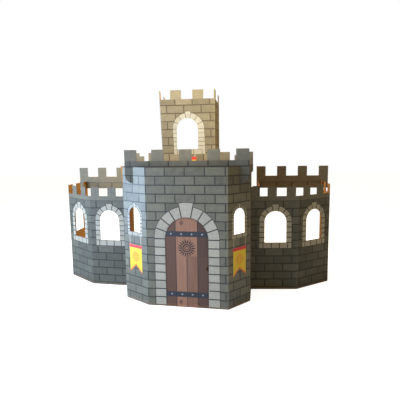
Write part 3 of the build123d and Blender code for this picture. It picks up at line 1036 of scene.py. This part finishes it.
class MakeBattlements(bpy.types.Operator):
    """Prints the four battlement sheets, with plain merlons over their stones"""

    bl_idname = "castle.battlements"
    bl_label = "Battlements"

    def execute(self, context):
        colours, _ = settings()
        # the front battlement takes the wings' darker stones, partly painted shade
        grey = (colours.wing_stone, colours.wing_shade, colours.plain)
        # stones with part of the warm lamp light painted into their colour
        warm_lit = (colours.dull_stone, colours.dull_shade, colours.dull_plain)
        for name, tints, plain, nodes in (
            ("keep front battlement print", grey, 1.0, ("keep_front_battlement",)),
            ("keep rear battlement print and painted warm light", warm_lit, 0.96, ("keep_rear_battlement",)),
            ("wing battlement print and painted warm light", warm_lit, 0.78, ("left_wing_battlement", "right_wing_battlement")),
        ):
            face = printed(name, tints, Shift=0.04, Plain_Above=plain)
            for node in nodes:
                build_sheet(node, skins(face))
        return {"FINISHED"}


FLUTE_STEPS = 8.0  # points on each wave of a flute
RUN_MARGIN = 0.0006  # a run stops this far short of its edge's ends
SHORTEST_RUN = 0.01
FOLD_ROOM = 0.003  # a run turns a fold between points this far on each side of it


def flute_tree(paper):
    """A tree that turns lines along the cut edges into the flutes and liners that stand proud of them."""
    tree = bpy.data.node_groups.new("board flutes", "GeometryNodeTree")
    face = tree.interface
    face.new_socket("Geometry", in_out="INPUT", socket_type="NodeSocketGeometry")
    for label in ("Pitch", "Swing", "Paper", "Liner"):
        face.new_socket(label, in_out="INPUT", socket_type="NodeSocketFloat")
    face.new_socket("Geometry", in_out="OUTPUT", socket_type="NodeSocketGeometry")
    g = Graph(tree)
    given = g.node("NodeGroupInput").outputs
    bars = []
    out_way = g.node("ShaderNodeVectorMath", operation="CROSS_PRODUCT")
    g.put(out_way.inputs[0], g.node("GeometryNodeInputTangent").outputs[0])
    out_way.inputs[1].default_value = UP
    along = g.node("GeometryNodeSplineParameter").outputs["Length"]
    wave = g.math("SINE", g.over(g.times(along, math.tau), given["Pitch"]))
    offsets = (
        (g.over(given["Pitch"], FLUTE_STEPS), g.times(wave, given["Swing"])),
        (None, given["Liner"]),
        (None, g.times(given["Liner"], -1.0)),
    )
    profile = g.node("GeometryNodeCurvePrimitiveQuadrilateral")
    g.put(profile.inputs["Width"], given["Paper"])
    g.put(profile.inputs["Height"], given["Paper"])
    for step, swing in offsets:
        line = given["Geometry"]
        if step is not None:
            resample = g.node("GeometryNodeResampleCurve", mode="LENGTH")
            g.put(resample.inputs["Curve"], line)
            g.put(resample.inputs["Length"], step)
            line = resample.outputs[0]
        scale = g.node("ShaderNodeVectorMath", operation="SCALE")
        g.put(scale.inputs[0], out_way.outputs[0])
        g.put(scale.inputs["Scale"], swing)
        move = g.node("GeometryNodeSetPosition")
        g.put(move.inputs["Geometry"], line)
        g.put(move.inputs["Offset"], scale.outputs[0])
        bar = g.node("GeometryNodeCurveToMesh")
        g.put(bar.inputs["Curve"], move.outputs[0])
        g.put(bar.inputs["Profile Curve"], profile.outputs[0])
        bar.inputs["Fill Caps"].default_value = True
        bars.append(bar.outputs[0])
    join = g.node("GeometryNodeJoinGeometry")
    for bar in bars:
        tree.links.new(bar, join.inputs[0])
    real = g.node("GeometryNodeRealizeInstances")
    g.put(real.inputs[0], join.outputs[0])
    dress = g.node("GeometryNodeSetMaterial")
    dress.inputs["Material"].default_value = paper
    g.put(dress.inputs["Geometry"], real.outputs[0])
    g.put(g.node("NodeGroupOutput").inputs[0], dress.outputs[0])
    return tree


def cut_runs(node):
    """The middle lines of a sheet's level cut edges that look up."""
    blank = blank_of(node)
    work = merged(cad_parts[node].data)
    runs = []
    for face in work.faces:
        if face.normal.z < 0.95:
            continue
        level = face.verts[0].co.z
        spots = [blank.place(v.co, blank.nearest(v.co, face.normal)) for v in face.verts]
        if any(not -0.6 * CARD <= depth <= 1.6 * CARD for _, depth in spots):
            continue
        sign = -1 if blank.flip else 1
        ends = sorted(sign * along + blank.origin for along, _ in spots)
        start, end = ends[0] + RUN_MARGIN, ends[-1] - RUN_MARGIN
        if end - start < SHORTEST_RUN:
            continue
        folds = [before for *_, before, _ in blank.panels(level) if start < before < end]
        stops = [start]
        for fold in folds:
            stops += [fold - FOLD_ROOM, fold + FOLD_ROOM]
        stops.append(end)
        stops = [stop for stop in stops if start <= stop <= end]
        runs.append([blank.point(stop, CARD / 2, level) for stop in stops])
    work.free()
    return runs


class MakeFlutes(bpy.types.Operator):
    """Raises the flutes and liners that stand a little proud of the level cuts"""

    bl_idname = "castle.flutes"
    bl_label = "Flutes"

    def execute(self, context):
        colours, sizes = settings()
        line = bpy.data.curves.new("cut edges", "CURVE")
        line.dimensions = "3D"
        for node in sorted(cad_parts):
            for run in cut_runs(node):
                spline = line.splines.new("POLY")
                spline.points.add(len(run) - 1)
                for point, place in zip(spline.points, run):
                    point.co = (*place, 1)
        carrier = bpy.data.objects.new("cut_edges", line)
        context.scene.collection.objects.link(carrier)
        tree = flute_tree(flute_paper(colours))
        modifier = carrier.modifiers.new("flutes", "NODES")
        modifier.node_group = tree
        paper = sizes.flute_paper
        values = {
            "Pitch": sizes.flute,
            "Swing": CARD / 2 - 2 * paper,
            "Paper": paper,
            "Liner": (CARD - paper) / 2,
        }
        for item in tree.interface.items_tree:
            if item.name in values:
                modifier[item.identifier] = values[item.name]
        graph = context.evaluated_depsgraph_get()
        mesh = bpy.data.meshes.new_from_object(carrier.evaluated_get(graph))
        bpy.data.objects.remove(carrier)
        if not mesh.polygons:
            raise RuntimeError("the flutes came out empty")
        piece = bpy.data.objects.new("board_flutes", mesh)
        context.scene.collection.objects.link(piece)
        finish_piece(piece)
        return {"FINISHED"}


# ---- stage ----
CAMERA_PLACE = (0.436, -3.019, 1.066)
CAMERA_YAW, CAMERA_PITCH, CAMERA_ROLL = 7.0, -7.27, -0.85
CAMERA_LENS = 34.9
FLOOR_REACH = 14.0
FLOOR_GLOW = 0.85  # to the camera only, so that the floor meets the white surround
SKY_TINT = (1.0, 0.80, 0.50)
SKY_STRENGTH = 0.25  # on the castle; the camera sees full white


def add_lamp(name, place, target, energy, tint, width, height=None):
    """A lamp that looks at a target: a rectangle, or a spot of a width in degrees if it has no height."""
    lamp = bpy.data.lights.new(name, "AREA" if height else "SPOT")
    lamp.energy = energy
    lamp.color = tint
    if height:
        lamp.shape, lamp.size, lamp.size_y = "RECTANGLE", width, height
    else:
        lamp.spot_size, lamp.spot_blend, lamp.shadow_soft_size = math.radians(width), 0.4, 0.15
    item = bpy.data.objects.new(name, lamp)
    way = Vector(target) - Vector(place)
    item.matrix_world = Matrix.Translation(place) @ way.to_track_quat("-Z", "Y").to_matrix().to_4x4()
    bpy.context.scene.collection.objects.link(item)


# name, place, target, energy, tint, width, height
LAMPS = (
    ("window", (-2.6, -2.4, 1.6), (-0.5, -0.3, 0.5), 190, (0.48, 0.63, 0.98), 1.6, 2.0),
    ("window glint", (-3.2, -0.68, 0.7), (-0.35, -0.43, 0.6), 48, (0.52, 0.73, 1.0), 0.7, 1.3),
    ("front fill", (0.3, -4.2, 2.2), (-0.1, -0.4, 0.6), 16, (1.0, 0.90, 0.72), 2.0, 1.2),
    ("ceiling lamp", (0.3, 1.9, 3.0), (0.0, 0.3, 0.6), 85, (1.0, 0.80, 0.52), 1.2, 1.2),
    ("room lamp", (2.8, -1.8, 2.2), (0.9, 0.3, 0.8), 5, (1.0, 0.74, 0.42), 1.0, 1.0),
    ("tower lamp", (1.1, -2.4, 2.8), (0.0, -0.1, 1.31), 540, (1.0, 0.85, 0.54), 20),
)


class MakeStage(bpy.types.Operator):
    """Lays the floor, hangs the lamps and sets the camera"""

    bl_idname = "castle.stage"
    bl_label = "Stage"

    def execute(self, context):
        scene = context.scene
        mesh = bpy.data.meshes.new("floor")
        turns = ((-1, -1), (1, -1), (1, 1), (-1, 1))
        corners = [(x * FLOOR_REACH, y * FLOOR_REACH, 0) for x, y in turns]
        mesh.from_pydata(corners, [], [(0, 1, 2, 3)])
        pale = bpy.data.materials.new("pale floor")
        pale.use_nodes = True
        shader = pale.node_tree.nodes["Principled BSDF"]
        shader.inputs["Base Color"].default_value = (0.86, 0.86, 0.86, 1)
        shader.inputs["Roughness"].default_value = 0.9
        shader.inputs["Emission Color"].default_value = (1, 1, 1, 1)
        floor_graph = Graph(pale.node_tree)
        seen = floor_graph.node("ShaderNodeLightPath").outputs["Is Camera Ray"]
        floor_graph.put(shader.inputs["Emission Strength"], floor_graph.times(seen, FLOOR_GLOW))
        mesh.materials.append(pale)
        floor = bpy.data.objects.new("floor", mesh)
        scene.collection.objects.link(floor)
        world = bpy.data.worlds.new("studio")
        scene.world = world
        world.use_nodes = True
        g = Graph(world.node_tree)
        sky = world.node_tree.nodes["Background"]
        seen = g.node("ShaderNodeLightPath").outputs["Is Camera Ray"]
        g.put(sky.inputs["Color"], g.mix(seen, SKY_TINT, (1, 1, 1, 1)))
        g.put(sky.inputs["Strength"], g.plus(SKY_STRENGTH, g.times(seen, 1 - SKY_STRENGTH)))
        for lamp in LAMPS:
            add_lamp(*lamp)
        camera = bpy.data.objects.new("camera", bpy.data.cameras.new("camera"))
        camera.data.lens = CAMERA_LENS
        turned = (
            Matrix.Rotation(math.radians(CAMERA_YAW), 4, "Z")
            @ Matrix.Rotation(math.radians(90 + CAMERA_PITCH), 4, "X")
            @ Matrix.Rotation(math.radians(CAMERA_ROLL), 4, "Z")
        )
        camera.matrix_world = Matrix.Translation(CAMERA_PLACE) @ turned
        scene.collection.objects.link(camera)
        scene.camera = camera
        scene.view_settings.view_transform = "Standard"
        return {"FINISHED"}


class CastlePanel(bpy.types.Panel):
    """Lists the castle's pieces, sizes and colours"""

    bl_idname = "VIEW3D_PT_castle"
    bl_label = "Castle"
    bl_space_type = "VIEW_3D"
    bl_region_type = "UI"
    bl_category = "Castle"

    def draw(self, context):
        layout = self.layout
        for maker in MAKERS:
            layout.operator(maker.bl_idname)
        for group in (context.scene.castle_sizes, context.scene.castle_colours):
            for name in group.__annotations__:
                layout.prop(group, name)


MAKERS = (
    MakeNodeGroups,
    MakeKeep,
    MakeTower,
    MakeWings,
    MakeInnerWalls,
    MakeBattlements,
    MakeFlutes,
    MakeStage,
)
CLASSES = (CastleSizes, CastleColours, *MAKERS, CastlePanel)


def register():
    for item in CLASSES:
        bpy.utils.register_class(item)
    bpy.types.Scene.castle_sizes = bpy.props.PointerProperty(type=CastleSizes)
    bpy.types.Scene.castle_colours = bpy.props.PointerProperty(type=CastleColours)


def unregister():
    del bpy.types.Scene.castle_colours
    del bpy.types.Scene.castle_sizes
    for item in reversed(CLASSES):
        bpy.utils.unregister_class(item)


def main():
    """Makes every piece in order."""
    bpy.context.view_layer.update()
    register()
    for name in ("node_groups", "keep", "tower", "wings", "inner_walls", "battlements", "flutes", "stage"):
        getattr(bpy.ops.castle, name)()


if __name__ == "__main__":
    main()
